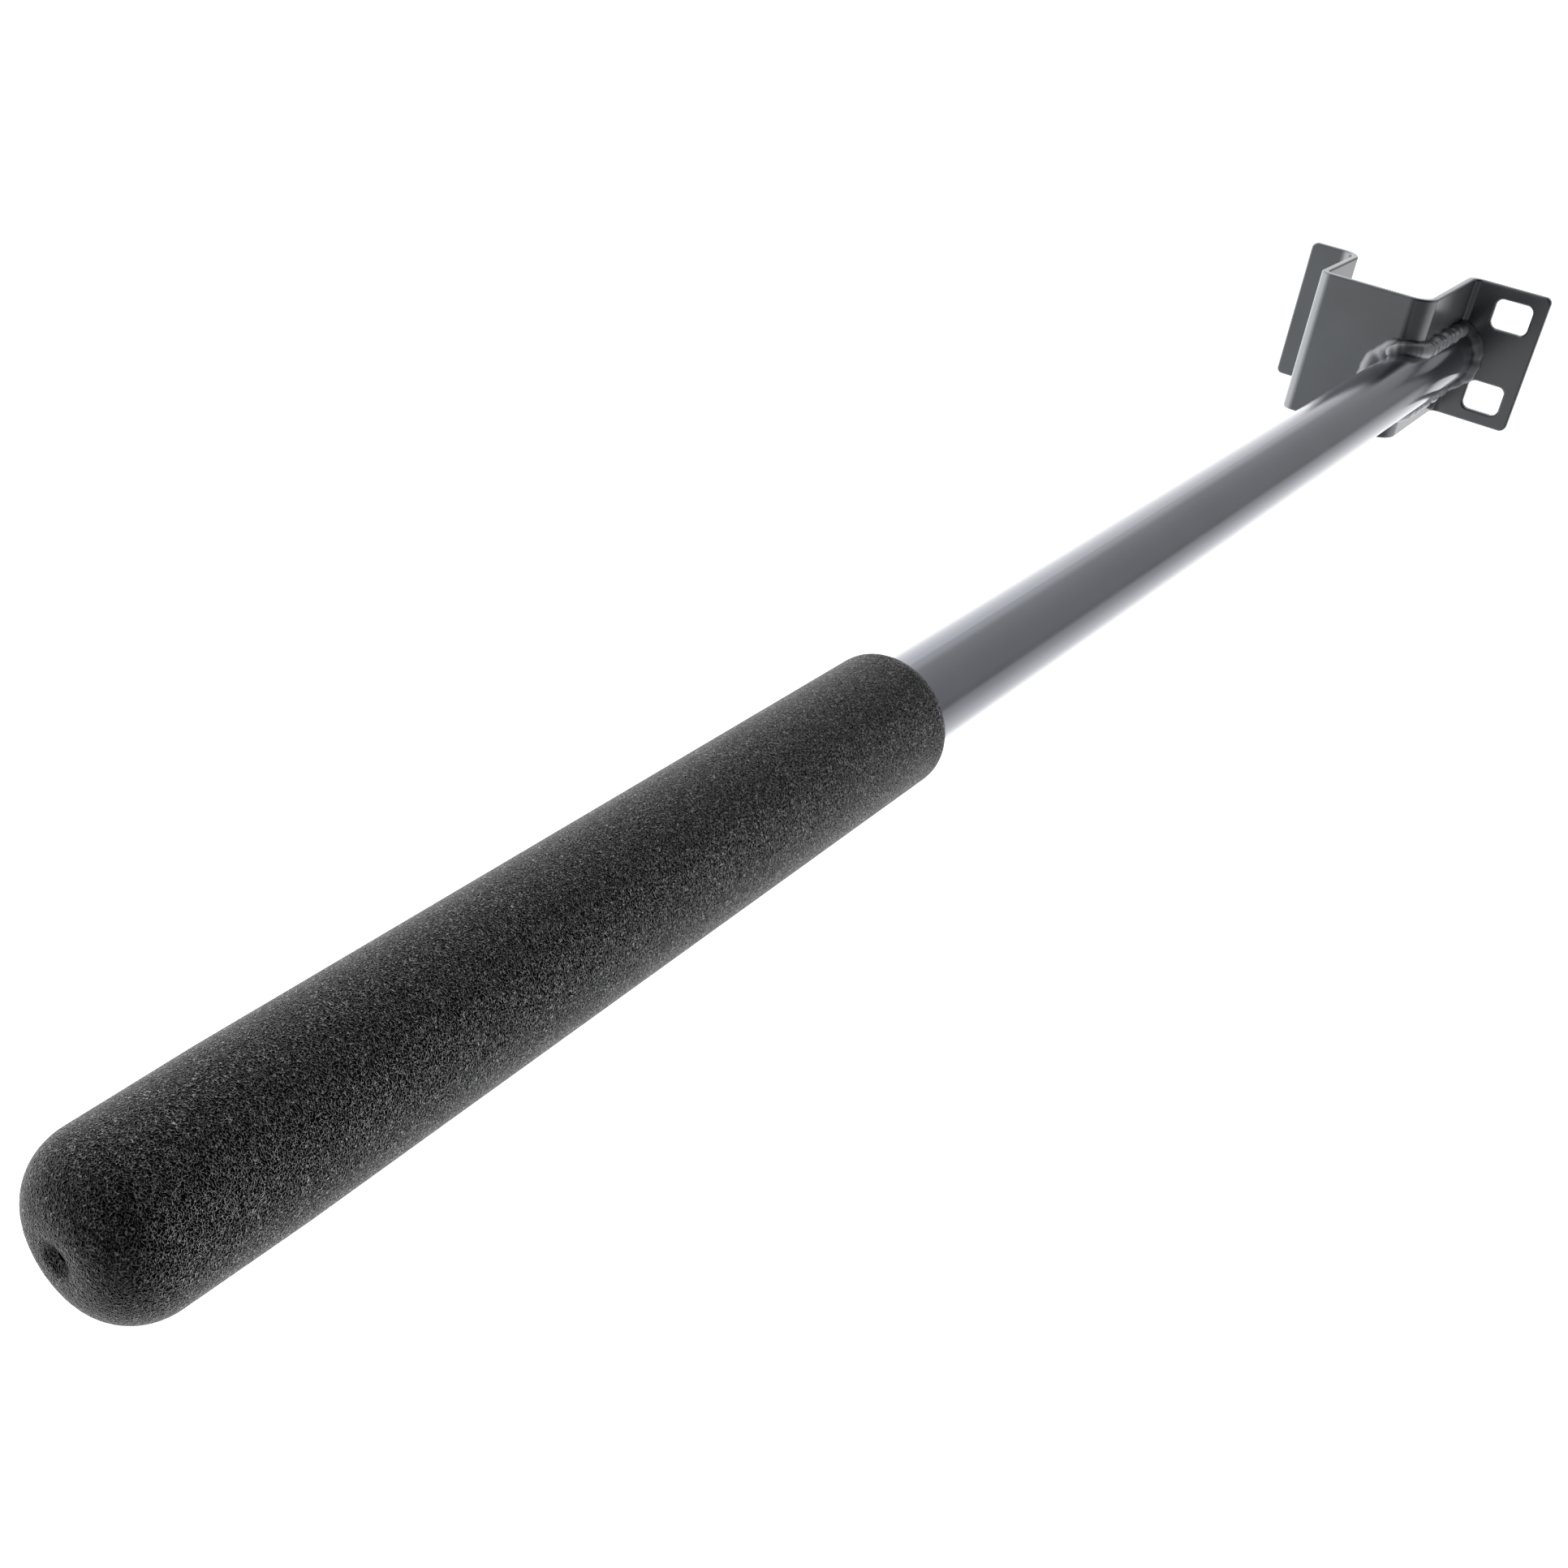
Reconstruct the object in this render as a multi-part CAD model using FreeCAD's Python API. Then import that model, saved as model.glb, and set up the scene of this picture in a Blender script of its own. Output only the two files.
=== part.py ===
"""Pull-up bar arm: a round steel tube with a closed-end foam grip, welded to a bent sheet bracket.

Millimetres. +X is across the bracket towards the bolt flange, +Y points into the mounting
surface and +Z is up. The origin is on the rear face of the bolt flange, midway between its
two square holes.
"""
import FreeCAD, Part
import os

V = FreeCAD.Vector
ALONG_Y = V(0, 1, 0)
ALONG_Z = V(0, 0, 1)

# Tube
tube_diameter = 25.4
tube_wall = 2.0

# Foam grip
grip_diameter = 36.0
grip_length = 239.0
grip_tip_wall = 6.0
grip_tip_rounding = 12.0
grip_mouth_rounding = 5.0
vent_diameter = 3.0

# Plug in the gripped end of the tube
plug_head_thickness = 2.0
plug_stem_length = 18.0
plug_wall = 2.0

# Bracket, one bent sheet of constant height
sheet_thickness = 3.0
lip_bend_radius = 6.0
plate_left_bend_radius = 2.0
plate_right_bend_radius = 6.0
flange_bend_radius = 3.0
bracket_height = 60.0
front_plate_width = 49.2
bolt_flange_width = 33.0
side_lip_width = 20.0
bolt_flange_setback = 59.5
side_lip_setback = 44.0
flange_corner_radius = 3.0
lip_corner_radius = 2.5
edge_rounding = 0.8
smooth_angle = 0.05

# Square bolt holes in the bolt flange
hole_width = 15.8
hole_height = 12.8
hole_corner_radius = 3.0
hole_spacing = 36.3
hole_to_flange_edge = 13.6

# Where the tube meets the bracket
reach = 631.0
tube_inset = 2.7
tube_drop = 4.7

# Weld beads; the rear one is small, and any bead is trimmed where it would come near a bolt hole
front_bead_radius = 4.2
rear_bead_radius = 3.0
side_bead_radius = 3.6
bead_offset = 0.9
bead_to_hole_clearance = 0.25

# Sizes that follow from the ones above
tube_radius = tube_diameter / 2
bore_radius = tube_radius - tube_wall
grip_radius = grip_diameter / 2
plate_left_outer = plate_left_bend_radius + sheet_thickness
plate_right_outer = plate_right_bend_radius + sheet_thickness
flange_edge_x = hole_to_flange_edge
flange_wall_x = flange_edge_x - bolt_flange_width
lip_wall_x = flange_wall_x - front_plate_width
lip_edge_x = lip_wall_x - side_lip_width
flange_front_y = -sheet_thickness
plate_front_y = flange_front_y - bolt_flange_setback
lip_front_y = plate_front_y + side_lip_setback
bottom_z = -bracket_height / 2
top_z = bracket_height / 2
tube_x = flange_wall_x - tube_inset
tube_z = -tube_drop
grip_tip_y = plate_front_y - reach
plug_head_y = grip_tip_y + grip_tip_wall
tube_end_y = plug_head_y + plug_head_thickness


def rod(radius, y_start, y_end):
    """Solid cylinder on the tube's centre line."""
    return Part.makeCylinder(radius, y_end - y_start, V(tube_x, y_start, tube_z), ALONG_Y)


def block(x_start, x_end, y_start, y_end, z_start, z_end):
    size = V(x_end - x_start, y_end - y_start, z_end - z_start)
    return Part.makeBox(size.x, size.y, size.z, V(x_start, y_start, z_start))


def corner_arc(before, corner, after, radius):
    """Start, middle and end of the arc that rounds a square corner."""
    inward = (before - corner).normalize()
    outward = (after - corner).normalize()
    centre = corner + (inward + outward) * radius
    start = corner + inward * radius
    end = corner + outward * radius
    middle = centre + (corner - centre).normalize() * radius
    return start, middle, end


def rounded_path(points, radii):
    """Straight runs joined by arcs, through points with one radius per inner corner."""
    edges = []
    here = points[0]
    for index, radius in enumerate(radii, start=1):
        arc = corner_arc(points[index - 1], points[index], points[index + 1], radius)
        edges.append(Part.LineSegment(here, arc[0]).toShape())
        edges.append(Part.Arc(*arc).toShape())
        here = arc[2]
    edges.append(Part.LineSegment(here, points[-1]).toShape())
    return edges


def sheet_outline():
    """Edge view of the bent sheet, from the side lip round to the bolt flange."""
    front = [
        V(lip_edge_x, lip_front_y, bottom_z),
        V(lip_wall_x, lip_front_y, bottom_z),
        V(lip_wall_x, plate_front_y, bottom_z),
        V(flange_wall_x, plate_front_y, bottom_z),
        V(flange_wall_x, flange_front_y, bottom_z),
        V(flange_edge_x, flange_front_y, bottom_z),
    ]
    steps = [V(0, 1, 0), V(1, 1, 0), V(1, 1, 0), V(-1, 1, 0), V(-1, 1, 0), V(0, 1, 0)]
    back = [point + step * sheet_thickness for point, step in zip(front, steps)]
    front_radii = [lip_bend_radius, plate_left_outer, plate_right_outer, flange_bend_radius]
    back_radii = [lip_bend_radius + sheet_thickness, plate_left_bend_radius,
                  plate_right_bend_radius, flange_bend_radius + sheet_thickness]
    edges = rounded_path(front, front_radii) + rounded_path(back, back_radii)
    edges.append(Part.LineSegment(front[0], back[0]).toShape())
    edges.append(Part.LineSegment(front[-1], back[-1]).toShape())
    return Part.Wire(Part.__sortEdges__(edges))


def is_free_corner(edge):
    """True for the short edges at the free ends of the lip and the flange."""
    box = edge.BoundBox
    short = abs(box.YLength - sheet_thickness) < edge_rounding and box.XLength < edge_rounding
    at_end = abs(box.XMin - lip_edge_x) < edge_rounding or abs(box.XMax - flange_edge_x) < edge_rounding
    return short and at_end and box.ZLength < edge_rounding


def square_holes(depth, clearance=0):
    """Cutter for both square bolt holes with rounded corners, reaching a depth in front of the flange."""
    half_width = hole_width / 2 + clearance
    half_height = hole_height / 2 + clearance
    cutters = []
    for centre_z in (-hole_spacing / 2, hole_spacing / 2):
        cutter = block(-half_width, half_width, flange_front_y - depth, sheet_thickness,
                       centre_z - half_height, centre_z + half_height)
        corners = [edge for edge in cutter.Edges if edge.BoundBox.YLength > sheet_thickness]
        cutters.append(cutter.makeFillet(hole_corner_radius + clearance, corners))
    return Part.makeCompound(cutters)


def face_angle(shape, edge):
    """Angle between the two faces that meet at an edge, zero where they run on smoothly."""
    middle = edge.valueAt((edge.FirstParameter + edge.LastParameter) / 2)
    normals = []
    for face in shape.ancestorsOfType(edge, Part.Face):
        normals.append(face.normalAt(*face.Surface.parameter(middle)))
    return normals[0].getAngle(normals[-1])


def sharp_edges(shape):
    return [edge for edge in shape.Edges if face_angle(shape, edge) > smooth_angle]


def make_bracket():
    sheet = Part.Face(sheet_outline()).extrude(V(0, 0, bracket_height))
    free = [edge for edge in sheet.Edges if is_free_corner(edge)]
    flange = [edge for edge in free if edge.BoundBox.XMax > flange_wall_x]
    sheet = sheet.makeFillet(flange_corner_radius, flange)
    lip = [edge for edge in sheet.Edges if is_free_corner(edge) and edge.BoundBox.XMax < flange_wall_x]
    sheet = sheet.makeFillet(lip_corner_radius, lip)
    sheet = sheet.cut(square_holes(sheet_thickness)).Solids[0]
    return sheet.makeFillet(edge_rounding, sharp_edges(sheet))


def behind_front_plate():
    """The space the hat section encloses, used to cope the tube and the beads to it."""
    space = block(lip_wall_x, flange_wall_x, plate_front_y, 0, bottom_z, top_z)
    upright = [edge for edge in space.Edges
               if edge.BoundBox.ZLength > plate_right_outer and edge.BoundBox.YMax < lip_front_y]
    right = [edge for edge in upright if edge.BoundBox.XMin > tube_x]
    return space.makeFillet(plate_right_outer, right)


def make_tube(bracket, space):
    tube = rod(tube_radius, tube_end_y, flange_front_y).cut(rod(bore_radius, tube_end_y, flange_front_y))
    return tube.cut(space).cut(bracket)


def make_plug():
    head = rod(tube_radius, plug_head_y, tube_end_y)
    stem = rod(bore_radius, tube_end_y, tube_end_y + plug_stem_length)
    hollow = rod(bore_radius - plug_wall, tube_end_y, tube_end_y + plug_stem_length)
    return head.fuse(stem.cut(hollow)).removeSplitter()


def make_grip():
    body = rod(grip_radius, grip_tip_y, grip_tip_y + grip_length)
    tip = [edge for edge in body.Edges if abs(edge.BoundBox.YMax - grip_tip_y) < edge_rounding]
    body = body.makeFillet(grip_tip_rounding, tip)
    mouth_y = grip_tip_y + grip_length
    mouth = [edge for edge in body.Edges if abs(edge.BoundBox.YMin - mouth_y) < edge_rounding]
    body = body.makeFillet(grip_mouth_rounding, mouth)
    body = body.cut(rod(tube_radius, plug_head_y, mouth_y))
    return body.cut(rod(vent_diameter / 2, grip_tip_y, plug_head_y))


def bead_ring(wall_y, radius):
    """Full ring of weld round the tube where it meets a wall, before it is trimmed."""
    centre = V(tube_x, wall_y - bead_offset, tube_z)
    return Part.makeTorus(tube_radius + bead_offset, radius, centre, ALONG_Y)


def bead_run(side):
    """Run of weld above or below the tube, round the plate's bend and along the bracket wall."""
    half_chord = (tube_radius ** 2 - tube_inset ** 2) ** 0.5
    z = tube_z + side * (half_chord + bead_offset)
    bend = V(flange_wall_x - plate_right_outer, plate_front_y + plate_right_outer, z)
    turn_radius = plate_right_outer + bead_offset
    wide = turn_radius + side_bead_radius
    turn = Part.makeTorus(turn_radius, side_bead_radius, bend, ALONG_Z)
    quarter = block(bend.x, bend.x + wide, bend.y - wide, bend.y, z - side_bead_radius, z + side_bead_radius)
    start = bend + V(turn_radius, 0, 0)
    run = Part.makeCylinder(side_bead_radius, flange_front_y - bend.y, start, ALONG_Y)
    return turn.common(quarter).fuse(run)


def largest_solid(shape):
    return max(shape.Solids, key=lambda solid: solid.Volume)


def make_welds(bracket, space):
    """The four beads, each trimmed by the tube, the bracket and the beads before it."""
    core = rod(tube_radius, tube_end_y, flange_front_y)
    bolt_way = square_holes(bolt_flange_setback, bead_to_hole_clearance)
    outside = block(lip_edge_x, flange_edge_x, flange_front_y, grip_diameter, bottom_z, top_z)
    bend_x = flange_wall_x - plate_right_outer
    far_side = block(bend_x, flange_edge_x, plate_front_y - grip_diameter, flange_front_y, bottom_z, top_z)
    near_side = block(lip_edge_x, flange_wall_x, plate_front_y - grip_diameter, flange_front_y,
                      bottom_z, top_z)
    rough = {
        "weld_front": bead_ring(plate_front_y, front_bead_radius).cut(far_side),
        "weld_upper": bead_run(1),
        "weld_lower": bead_run(-1),
        "weld_rear": bead_ring(flange_front_y, rear_bead_radius).cut(near_side),
    }
    welds = {}
    for name, bead in rough.items():
        bead = bead.cut(core).cut(space).cut(bracket).cut(outside).cut(bolt_way)
        for done in welds.values():
            bead = bead.cut(done)
        welds[name] = largest_solid(bead)
    return welds


bracket = make_bracket()
space = behind_front_plate()
parts = {
    "main_tube": make_tube(bracket, space),
    "mounting_bracket": bracket,
    "tube_end_plug": make_plug(),
    "foam_grip": make_grip(),
}
parts.update(make_welds(bracket, space))

os.makedirs("parts", exist_ok=True)
for name, shape in parts.items():
    shape.exportStep("parts/" + name + ".step")
    print(name, shape.isValid(), len(shape.Solids), round(shape.Volume, 1), shape.BoundBox)
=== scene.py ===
import bpy
import math
from mathutils import Matrix, Vector


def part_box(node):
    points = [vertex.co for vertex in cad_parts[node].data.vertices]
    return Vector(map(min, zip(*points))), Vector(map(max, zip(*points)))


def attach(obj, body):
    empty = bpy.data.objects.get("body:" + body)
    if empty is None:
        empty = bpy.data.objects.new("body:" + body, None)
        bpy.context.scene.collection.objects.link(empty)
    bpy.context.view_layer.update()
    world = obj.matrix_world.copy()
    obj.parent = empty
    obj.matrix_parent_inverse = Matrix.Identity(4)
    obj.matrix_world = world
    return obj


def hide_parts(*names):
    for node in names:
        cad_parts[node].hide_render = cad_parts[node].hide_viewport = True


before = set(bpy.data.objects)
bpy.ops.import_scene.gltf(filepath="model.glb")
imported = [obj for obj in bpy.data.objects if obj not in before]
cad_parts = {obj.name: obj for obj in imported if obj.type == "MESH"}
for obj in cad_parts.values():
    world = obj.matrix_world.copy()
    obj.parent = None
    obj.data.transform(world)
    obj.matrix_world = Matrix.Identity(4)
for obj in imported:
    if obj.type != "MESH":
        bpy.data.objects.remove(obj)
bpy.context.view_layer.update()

# Sizes and places from the frame, in metres
MM = 0.001
TUBE_LOW, TUBE_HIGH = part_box("main_tube")
GRIP_LOW, GRIP_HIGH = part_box("foam_grip")
BRACKET_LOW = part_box("mounting_bracket")[0]
PLUG_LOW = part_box("tube_end_plug")[0]
AXIS = (GRIP_LOW + GRIP_HIGH) / 2
TUBE_RADIUS = (TUBE_HIGH.z - TUBE_LOW.z) / 2
GRIP_RADIUS = (GRIP_HIGH.z - GRIP_LOW.z) / 2
PLATE_Y = BRACKET_LOW.y
FLANGE_Y = TUBE_HIGH.y

# Bracket sizes that the beads follow: the front plate's outer bend, and the tube's centre from the wall
BEND = 9.0 * MM
INSET = 2.7 * MM

# Camera, placed from the bar's centre line at the front plate
CAMERA_PLACE = Vector((0.1774, -0.7245, 0.2191))
CAMERA_RIGHT = Vector((0.80032, 0.58770, 0.11873))
CAMERA_UP = Vector((-0.40483, 0.38361, 0.83003))
SENSOR_WIDTH = 36
LENS = 39.13
NEAREST = 0.01

# Studio light: (turn in degrees round the bar from overhead, brightness), then the dimmer directions
SKY_STOPS = (
    (-180, 1.60), (-144, 1.47), (-116, 1.20), (-97, 1.02), (-81, 0.77), (-62, 0.57), (-57, 0.27), (-40, 0.37),
    (0, 0.44), (55, 0.58), (63, 0.88), (95, 1.35), (140, 1.70), (180, 1.70),
)
BRIGHTEST = 2
OVERHEAD = Vector((0.63, 0, 0.78)).normalized()
DARK_SPOT = Vector((0.60, -0.31, 0.74))
DARK_SPOT_FADE = (0.45, 0.95)
DARK_SPOT_LEVEL = 0.10
CAMERA_SIDE = Vector((0.50, -0.866, 0)).normalized()
CAMERA_SIDE_FADE = (-0.05, 0.78)
CAMERA_SIDE_LEVEL = 0.34

# Soft lights on the grip: (name, place from the bar's middle, power)
SOFTBOXES = (
    ("softbox_left", (-0.90, 0.60, 0.55), 8.0),
    ("softbox_right", (0.75, 0.60, -0.45), 12.0),
)
SOFTBOX_SIZE = 0.7

FLOOR_SIZE = 14
FLOOR_PLACE = Vector((0, 2, BRACKET_LOW.z - 0.22))
FLOOR_WHITE = 0.9

# Metal finishes: colour, roughness, depth of the orange peel
BAR_COAT = ((0.278, 0.290, 0.322), 0.17, 0.008 * MM)
BRACKET_COAT = ((0.27, 0.285, 0.298), 0.22, 0.01 * MM)
WELD_COAT = ((0.29, 0.298, 0.315), 0.30, 0.01 * MM)
WELD_METAL = 0.62

GRIP_SIDES = 144


# ---------------------------------------------------------------- camera and studio

def place_camera():
    """Camera beside and above the bar, looking down its length from the grip to the bracket."""
    eye = Vector((AXIS.x, PLATE_Y, AXIS.z)) + CAMERA_PLACE
    right = CAMERA_RIGHT.normalized()
    back = right.cross(CAMERA_UP).normalized()
    up = back.cross(right)
    turn = Matrix((right, up, back)).transposed().to_4x4()
    data = bpy.data.cameras.new("camera")
    data.sensor_width = SENSOR_WIDTH
    data.lens = LENS
    data.dof.use_dof = False
    data.clip_start = NEAREST
    camera = bpy.data.objects.new("camera", data)
    bpy.context.scene.collection.objects.link(camera)
    camera.matrix_world = Matrix.Translation(eye) @ turn
    bpy.context.scene.camera = camera


def node(tree, kind, inputs=None, **settings):
    """Adds one shader node, sets its properties, then its input values or links."""
    made = tree.nodes.new(kind)
    for name, value in settings.items():
        setattr(made, name, value)
    for name, value in (inputs or {}).items():
        if hasattr(value, "is_output"):
            tree.links.new(value, made.inputs[name])
        else:
            made.inputs[name].default_value = value
    return made


def spread(tree, value, low, high, out_low, out_high, **settings):
    """A value between two limits, mapped on to two others."""
    inputs = {"Value": value, "From Min": low, "From Max": high, "To Min": out_low, "To Max": out_high}
    return node(tree, "ShaderNodeMapRange", inputs, **settings).outputs["Result"]


def maths(tree, operation, *values):
    return node(tree, "ShaderNodeMath", dict(enumerate(values)), operation=operation).outputs["Value"]


def vector_maths(tree, operation, inputs):
    return node(tree, "ShaderNodeVectorMath", inputs, operation=operation)


def facing(tree, way, direction):
    """How far a direction turns towards a fixed one, 1 when they are the same."""
    return vector_maths(tree, "DOT_PRODUCT", {0: way, 1: direction}).outputs["Value"]


def sky_round_bar(tree, way):
    """Brightness round the bar's centre line: dim overhead, white on both sides and below."""
    side = facing(tree, way, OVERHEAD.cross(Vector((0, 1, 0))))
    over = facing(tree, way, OVERHEAD)
    turn = maths(tree, "ARCTAN2", side, over)
    ramp = node(tree, "ShaderNodeValToRGB", {"Fac": spread(tree, turn, -math.pi, math.pi, 0, 1)})
    stops = ramp.color_ramp.elements
    while len(stops) < len(SKY_STOPS):
        stops.new(0.5)
    for stop, (angle, level) in zip(stops, SKY_STOPS):
        stop.position = (angle + 180) / 360
        grey = level / BRIGHTEST
        stop.color = (grey, grey, grey, 1)
    return ramp.outputs["Color"]


def light_world():
    """White studio round the bar, dim overhead and dimmer on the side the camera stands."""
    world = bpy.data.worlds.new("studio")
    bpy.context.scene.world = world
    world.use_nodes = True
    tree = world.node_tree
    tree.nodes.clear()
    way = node(tree, "ShaderNodeTexCoord").outputs["Generated"]
    round_bar = sky_round_bar(tree, way)
    beside = facing(tree, way, CAMERA_SIDE)
    front = spread(tree, beside, *CAMERA_SIDE_FADE, BRIGHTEST, CAMERA_SIDE_LEVEL,
                   interpolation_type="SMOOTHSTEP")
    towards = facing(tree, way, DARK_SPOT.normalized())
    dark = spread(tree, towards, *DARK_SPOT_FADE, 1, DARK_SPOT_LEVEL, interpolation_type="SMOOTHSTEP")
    level = maths(tree, "MULTIPLY", front, dark)
    sky = node(tree, "ShaderNodeBackground", {"Color": round_bar, "Strength": level})
    plain = node(tree, "ShaderNodeBackground", {"Color": (1, 1, 1, 1), "Strength": 1.0})
    seen = node(tree, "ShaderNodeLightPath").outputs["Is Camera Ray"]
    both = node(tree, "ShaderNodeMixShader",
                {0: seen, 1: sky.outputs["Background"], 2: plain.outputs["Background"]})
    node(tree, "ShaderNodeOutputWorld", {"Surface": both.outputs["Shader"]})


def hang_softbox(name, place, power):
    """Large soft light aimed at the grip. It lights the foam but leaves no patch in the glossy coat."""
    bpy.ops.object.light_add(type="AREA", location=AXIS + Vector(place))
    light = bpy.context.object
    light.name = name
    light.data.shape = "DISK"
    light.data.size = SOFTBOX_SIZE
    light.data.energy = power
    light.rotation_euler = (-Vector(place)).to_track_quat("-Z", "Y").to_euler()
    light.visible_glossy = False


def lay_floor():
    """Plain white floor well below the bar, which adds no light or shadow to it."""
    bpy.ops.mesh.primitive_plane_add(size=FLOOR_SIZE, location=FLOOR_PLACE)
    floor = bpy.context.object
    floor.name = "floor"
    paint = bpy.data.materials.new("floor_white")
    paint.use_nodes = True
    shader = paint.node_tree.nodes["Principled BSDF"]
    shader.inputs["Base Color"].default_value = (FLOOR_WHITE, FLOOR_WHITE, FLOOR_WHITE, 1)
    shader.inputs["Roughness"].default_value = 0.9
    shader.inputs["Emission Color"].default_value = (1, 1, 1, 1)
    shader.inputs["Emission Strength"].default_value = FLOOR_WHITE
    floor.data.materials.append(paint)
    floor.visible_glossy = False
    floor.visible_diffuse = False
    floor.visible_shadow = False


# ---------------------------------------------------------------- finishes

def new_finish(name):
    finish = bpy.data.materials.new(name)
    finish.use_nodes = True
    tree = finish.node_tree
    spot = node(tree, "ShaderNodeTexCoord").outputs["Object"]
    return finish, tree, tree.nodes["Principled BSDF"], spot


def noise(tree, spot, scale, detail):
    return node(tree, "ShaderNodeTexNoise", {"Vector": spot, "Scale": scale, "Detail": detail})


def blend(tree, amount, first, second, **settings):
    """Mixes two colours by an amount."""
    inputs = {"Factor": amount, "A": first, "B": second}
    return node(tree, "ShaderNodeMix", inputs, data_type="RGBA", **settings).outputs[2]


def raise_surface(tree, height, strength, depth):
    """Bump from a height pattern."""
    inputs = {"Strength": strength, "Distance": depth, "Height": height}
    return node(tree, "ShaderNodeBump", inputs).outputs["Normal"]


def make_powder_coat(name, colour, gloss_roughness, peel_depth, metal=0.9):
    """Dark grey powder coat with a faint orange peel and slightly uneven gloss."""
    finish, tree, shader, spot = new_finish(name)
    peel = noise(tree, spot, 620.0, 2.0).outputs["Fac"]
    patch = noise(tree, spot, 45.0, 3.0).outputs["Fac"]
    rough = spread(tree, patch, 0, 1, gloss_roughness - 0.05, gloss_roughness + 0.06)
    tint = spread(tree, patch, 0, 1, 0.93, 1.07)
    tree.links.new(blend(tree, 1.0, (*colour, 1), tint, blend_type="MULTIPLY"), shader.inputs["Base Color"])
    tree.links.new(rough, shader.inputs["Roughness"])
    tree.links.new(raise_surface(tree, peel, 0.5, peel_depth), shader.inputs["Normal"])
    shader.inputs["Metallic"].default_value = metal
    return finish


def make_plug_finish():
    """Black moulded plastic with a fine matt texture."""
    finish, tree, shader, spot = new_finish("plug_plastic_finish")
    grain = noise(tree, spot, 1500.0, 2.0).outputs["Fac"]
    rough = spread(tree, grain, 0, 1, 0.45, 0.65)
    paint = blend(tree, grain, (0.012, 0.012, 0.013, 1), (0.03, 0.03, 0.032, 1))
    tree.links.new(paint, shader.inputs["Base Color"])
    tree.links.new(rough, shader.inputs["Roughness"])
    tree.links.new(raise_surface(tree, grain, 0.4, 0.02 * MM), shader.inputs["Normal"])
    return finish


def foam_ridges(tree, spot):
    """Height of short wormy ridges, 1 on a crest, along the middle level of a slightly drifting noise."""
    packing = (1, 1.4, 1)
    drift_length = 0.6 * MM
    ridge_width = 0.28
    packed = vector_maths(tree, "MULTIPLY", {0: spot, 1: packing}).outputs["Vector"]
    drift = noise(tree, packed, 1400.0, 1.0).outputs["Color"]
    shift = vector_maths(tree, "SCALE", {0: drift, "Scale": drift_length}).outputs["Vector"]
    moved = vector_maths(tree, "ADD", {0: packed, 1: shift}).outputs["Vector"]
    cells = noise(tree, moved, 1750.0, 0.0).outputs["Fac"]
    from_middle = maths(tree, "ABSOLUTE", maths(tree, "SUBTRACT", cells, 0.5))
    return spread(tree, from_middle, 0, ridge_width, 1, 0)


def make_foam_finish():
    """Charcoal foam with a fine grain of short wormy ridges. The colour is painted highlight and shade:
    near-white on the crests for the glints on them, and black between them for the shade in the crevices,
    which together average to charcoal.
    """
    crest_sharpness = 7.0
    grain_depth = 2.5 * MM
    finish, tree, shader, spot = new_finish("grip_foam_finish")
    ridge = foam_ridges(tree, spot)
    # Crest mask: where the painted highlight goes; everywhere else stays black as painted shade in the
    # crevices
    crest = maths(tree, "POWER", ridge, crest_sharpness)
    # Patches at random where the painted highlights on the crests are dimmer
    glint_patch_noise = noise(tree, spot, 900.0, 0.0).outputs["Fac"]
    glint_patch_level = spread(tree, glint_patch_noise, 0.32, 0.68, 0.7, 1.0)
    painted_highlight = maths(tree, "MULTIPLY", crest, glint_patch_level)
    # Painted highlight and shade: near-white on the crests for glints, black in the crevices for shade
    paint = blend(tree, painted_highlight, (0, 0, 0, 1), (0.94, 0.94, 0.97, 1))
    tree.links.new(paint, shader.inputs["Base Color"])
    tree.links.new(raise_surface(tree, ridge, 1.0, grain_depth), shader.inputs["Normal"])
    shader.inputs["Roughness"].default_value = 0.35
    shader.inputs["Specular IOR Level"].default_value = 0.10
    return finish


def dress(piece, finish):
    piece.data.materials.clear()
    piece.data.materials.append(finish)


# ---------------------------------------------------------------- foam grip

def start_ring(name, radius, y):
    """Begins a piece as one ring round the bar's centre line, left open in edit mode."""
    bpy.ops.object.select_all(action="DESELECT")
    bpy.ops.mesh.primitive_circle_add(vertices=GRIP_SIDES, radius=radius, rotation=(math.pi / 2, 0, 0),
                                      location=(AXIS.x, y, AXIS.z))
    piece = bpy.context.object
    piece.name = name
    bpy.ops.object.transform_apply(location=True, rotation=True, scale=True)
    bpy.ops.object.mode_set(mode="EDIT")
    bpy.ops.mesh.select_all(action="SELECT")
    return piece


def next_ring(here, there):
    """Pulls the open ring on to its next (y, radius) place along the bar."""
    step = there[0] - here[0]
    grow = there[1] / here[1]
    bpy.ops.mesh.extrude_region_move(TRANSFORM_OT_translate={"value": (0, step, 0)})
    bpy.ops.transform.resize(value=(grow, 1, grow), center_override=(AXIS.x, there[0], AXIS.z))


def quarter_round(y_from, r_from, y_to, r_to, bulge_first, count):
    """(y, radius) rings along a quarter ellipse between two places."""
    rings = []
    for step in range(1, count + 1):
        a = math.pi / 2 * step / count
        late, early = 1 - math.cos(a), math.sin(a)
        along, out = (late, early) if bulge_first else (early, late)
        rings.append((y_from + (y_to - y_from) * along, r_from + (r_to - r_from) * out))
    return rings


def dimple_rings(tip, vent):
    """(y, radius) rings of the soft dimple round the vent, from its bottom out to the tip's face."""
    dimple = 4.2 * MM
    depth = 1.15 * MM
    count = 12
    rings = []
    for step in range(count + 1):
        rise = (1 + math.cos(math.pi * step / count)) / 2
        rings.append((tip + depth * rise, vent + (dimple - vent) * step / count))
    return rings


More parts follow.
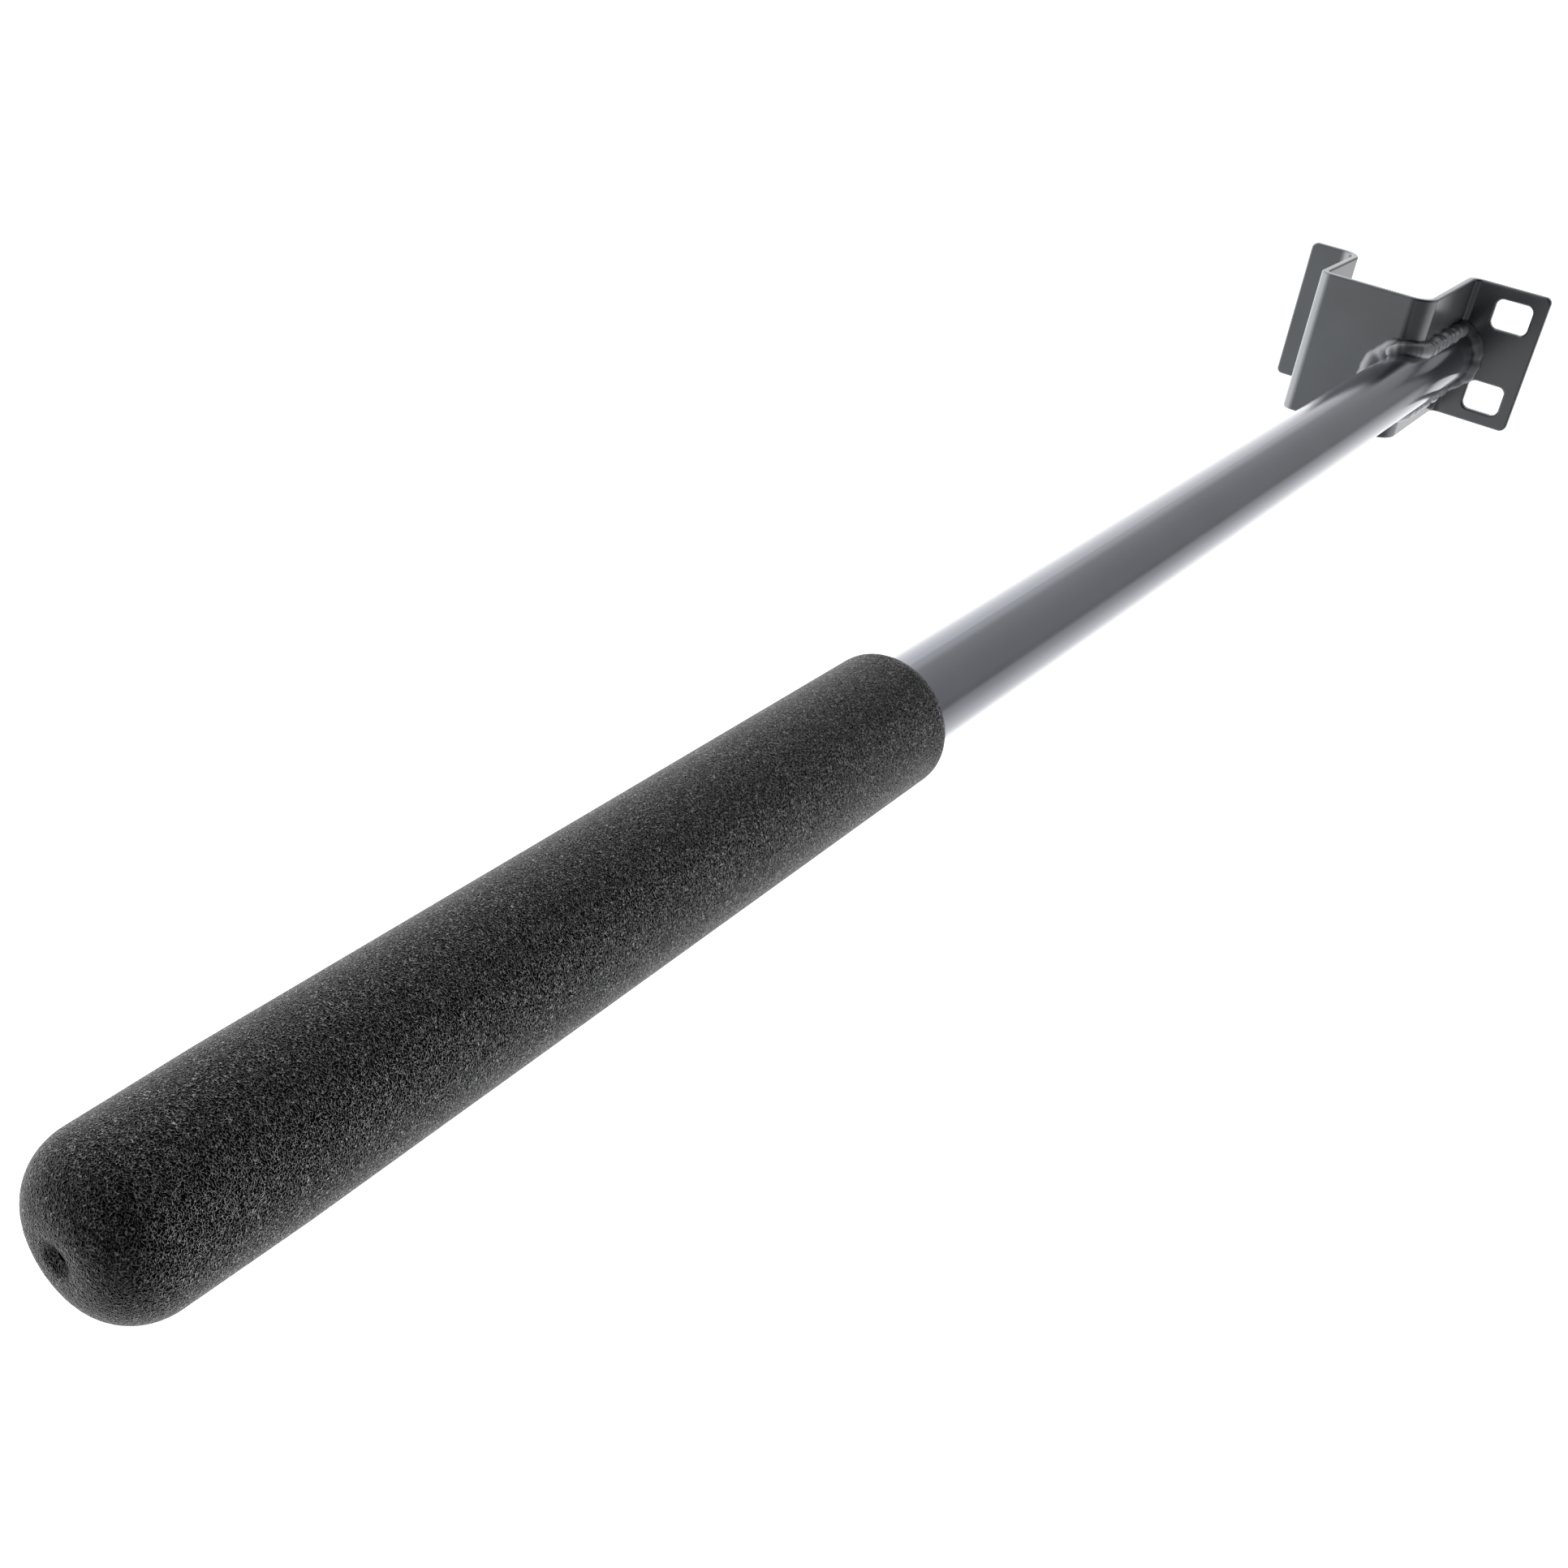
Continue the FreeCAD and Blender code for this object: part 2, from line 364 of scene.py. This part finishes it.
def body_rings(start, end, taper):
    """(y, radius) rings along the grip, which swells slightly behind the tip."""
    swell_length = 25 * MM
    count = 110
    rings = []
    for step in range(1, count + 1):
        y = start + (end - start) * step / count
        swell = min(1.0, (y - start) / swell_length)
        rings.append((y, GRIP_RADIUS - taper * (1 - swell)))
    return rings


def grip_profile():
    """(y, radius) rings: out through the vent, round the tip, along to the mouth and back in on the tube."""
    tip, mouth = GRIP_LOW.y, GRIP_HIGH.y
    vent = 0.8 * MM
    tip_round = 12 * MM
    mouth_round = 4.6 * MM
    mouth_lip = 0.7 * MM
    mouth_depth = 0.6 * MM
    taper = 0.45 * MM
    lining = TUBE_RADIUS + 0.05 * MM
    shoulder = GRIP_RADIUS - taper
    flat_edge = shoulder - tip_round
    rings = [(PLUG_LOW.y, vent)]
    rings += dimple_rings(tip, vent)
    rings.append((tip, flat_edge))
    rings += quarter_round(tip, flat_edge, tip + tip_round, shoulder, True, 16)
    rings += body_rings(rings[-1][0], mouth - mouth_round, taper)
    rings += quarter_round(mouth - mouth_round, GRIP_RADIUS, mouth, TUBE_RADIUS + mouth_lip, False, 8)
    rings += [(mouth - mouth_depth, lining), (PLUG_LOW.y, lining), rings[0]]
    return rings


def make_grip():
    rings = grip_profile()
    piece = start_ring("foam_grip_look", rings[0][1], rings[0][0])
    for here, there in zip(rings, rings[1:]):
        next_ring(here, there)
    bpy.ops.mesh.select_all(action="SELECT")
    bpy.ops.mesh.remove_doubles(threshold=0.01 * MM)
    bpy.ops.mesh.normals_make_consistent(inside=False)
    bpy.ops.object.mode_set(mode="OBJECT")
    bpy.ops.object.shade_smooth()
    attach(piece, "root")
    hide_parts("foam_grip")
    return piece


# ---------------------------------------------------------------- weld beads

def make_bead(name, places, sizes, squash=(1, 1, 1)):
    """A weld bead laid as overlapping ripples, melted together and eased smooth."""
    bpy.ops.object.select_all(action="DESELECT")
    bpy.ops.mesh.primitive_ico_sphere_add(subdivisions=3, radius=sizes[0], location=places[0], scale=squash)
    piece = bpy.context.object
    piece.name = name + "_look"
    bpy.ops.object.transform_apply(location=True, rotation=True, scale=True)
    bpy.ops.object.mode_set(mode="EDIT")
    for place, size in zip(places[1:], sizes[1:]):
        bpy.ops.mesh.primitive_ico_sphere_add(subdivisions=3, radius=size, location=place, scale=squash)
    bpy.ops.object.mode_set(mode="OBJECT")
    melt = piece.modifiers.new("melt", "REMESH")
    melt.mode = "VOXEL"
    melt.voxel_size = 0.45 * MM
    melt.use_smooth_shade = True
    ease = piece.modifiers.new("ease", "SMOOTH")
    ease.factor = 0.5
    ease.iterations = 14
    for step in ("melt", "ease"):
        bpy.ops.object.modifier_apply(modifier=step)
    bpy.ops.object.shade_smooth()
    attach(piece, "root")
    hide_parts(name)
    return piece


def wobble(index, size):
    """A repeatable unevenness, slow along the bead with a faint ripple on it."""
    return size * (math.sin(index * 0.4) + 0.5 * math.sin(index * 0.9 + 1) + 0.12 * math.sin(index * 2.9))


def ring_places(y, reach, start, end, count):
    """Places round the tube at one distance along it."""
    places = []
    for index in range(count):
        a = start + (end - start) * index / (count - 1)
        here = reach + wobble(index + 5, 0.3 * MM)
        places.append(Vector((AXIS.x + here * math.cos(a), y, AXIS.z + here * math.sin(a))))
    return places


def run_places(side, turn_count, wall_count):
    """Places above or below the tube, round the plate's bend and along the bracket wall to the flange."""
    stand_off = 1.35 * MM
    end_gap = 2 * MM
    lift = TUBE_RADIUS + 1.2 * MM
    bend_y = PLATE_Y + BEND
    places = []
    for step in range(turn_count):
        a = math.pi / 2 * step / turn_count
        x = INSET - BEND + (BEND + stand_off) * math.sin(a)
        places.append(Vector((AXIS.x + x, bend_y - (BEND + stand_off) * math.cos(a),
                              AXIS.z + side * math.sqrt(lift ** 2 - x ** 2))))
    x = INSET + stand_off
    z = AXIS.z + side * math.sqrt(lift ** 2 - x ** 2)
    for step in range(wall_count):
        y = bend_y + (FLANGE_Y - end_gap - bend_y) * step / (wall_count - 1)
        places.append(Vector((AXIS.x + x + wobble(step, 0.25 * MM), y, z + wobble(step + 3, 0.3 * MM))))
    return places


def uneven(count, start, end):
    """Bead sizes from one end to the other, with the unevenness of hand welding."""
    return [start + (end - start) * index / (count - 1) + wobble(index, 0.35 * MM) for index in range(count)]


def make_front_bead():
    """Round the tube on the front plate, from one side of the bend to the other."""
    count = 56
    size = 4.1 * MM
    reach = TUBE_RADIUS + 1.7 * MM
    left = math.acos((INSET - BEND) / reach)
    places = ring_places(PLATE_Y - 0.6 * MM, reach, left, 2 * math.pi - left, count)
    return make_bead("weld_front", places, uneven(count, size, size), (1, 0.8, 1))


def make_rear_bead():
    """Round the tube on the bolt flange, thinner at its lower end to stay off the bolt hole."""
    count = 48
    reach = TUBE_RADIUS + 0.9 * MM
    right = math.acos((INSET + MM) / reach)
    places = ring_places(FLANGE_Y - 0.4 * MM, reach, -right, right, count)
    return make_bead("weld_rear", places, uneven(count, 2.6 * MM, 4.0 * MM), (1, 0.6, 1))


def make_side_bead(name, side, start_size):
    """Along the bracket wall above or below the tube, slim enough to stay inside the wall's thickness."""
    turn_count = 8
    wall_count = 60
    sizes = uneven(turn_count + wall_count, start_size, 3.35 * MM)
    return make_bead(name, run_places(side, turn_count, wall_count), sizes)


def make_welds():
    return [
        make_front_bead(),
        make_rear_bead(),
        make_side_bead("weld_upper", 1, 3.45 * MM),
        make_side_bead("weld_lower", -1, 3.35 * MM),
    ]


# ---------------------------------------------------------------- put together

place_camera()
light_world()
for name, place, power in SOFTBOXES:
    hang_softbox(name, place, power)
lay_floor()

dress(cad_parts["main_tube"], make_powder_coat("bar_coat_finish", *BAR_COAT))
dress(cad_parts["mounting_bracket"], make_powder_coat("bracket_coat_finish", *BRACKET_COAT))
dress(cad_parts["tube_end_plug"], make_plug_finish())
dress(make_grip(), make_foam_finish())
weld_coat = make_powder_coat("weld_coat_finish", *WELD_COAT, WELD_METAL)
for bead in make_welds():
    dress(bead, weld_coat)

bpy.context.scene.view_settings.view_transform = "Standard"
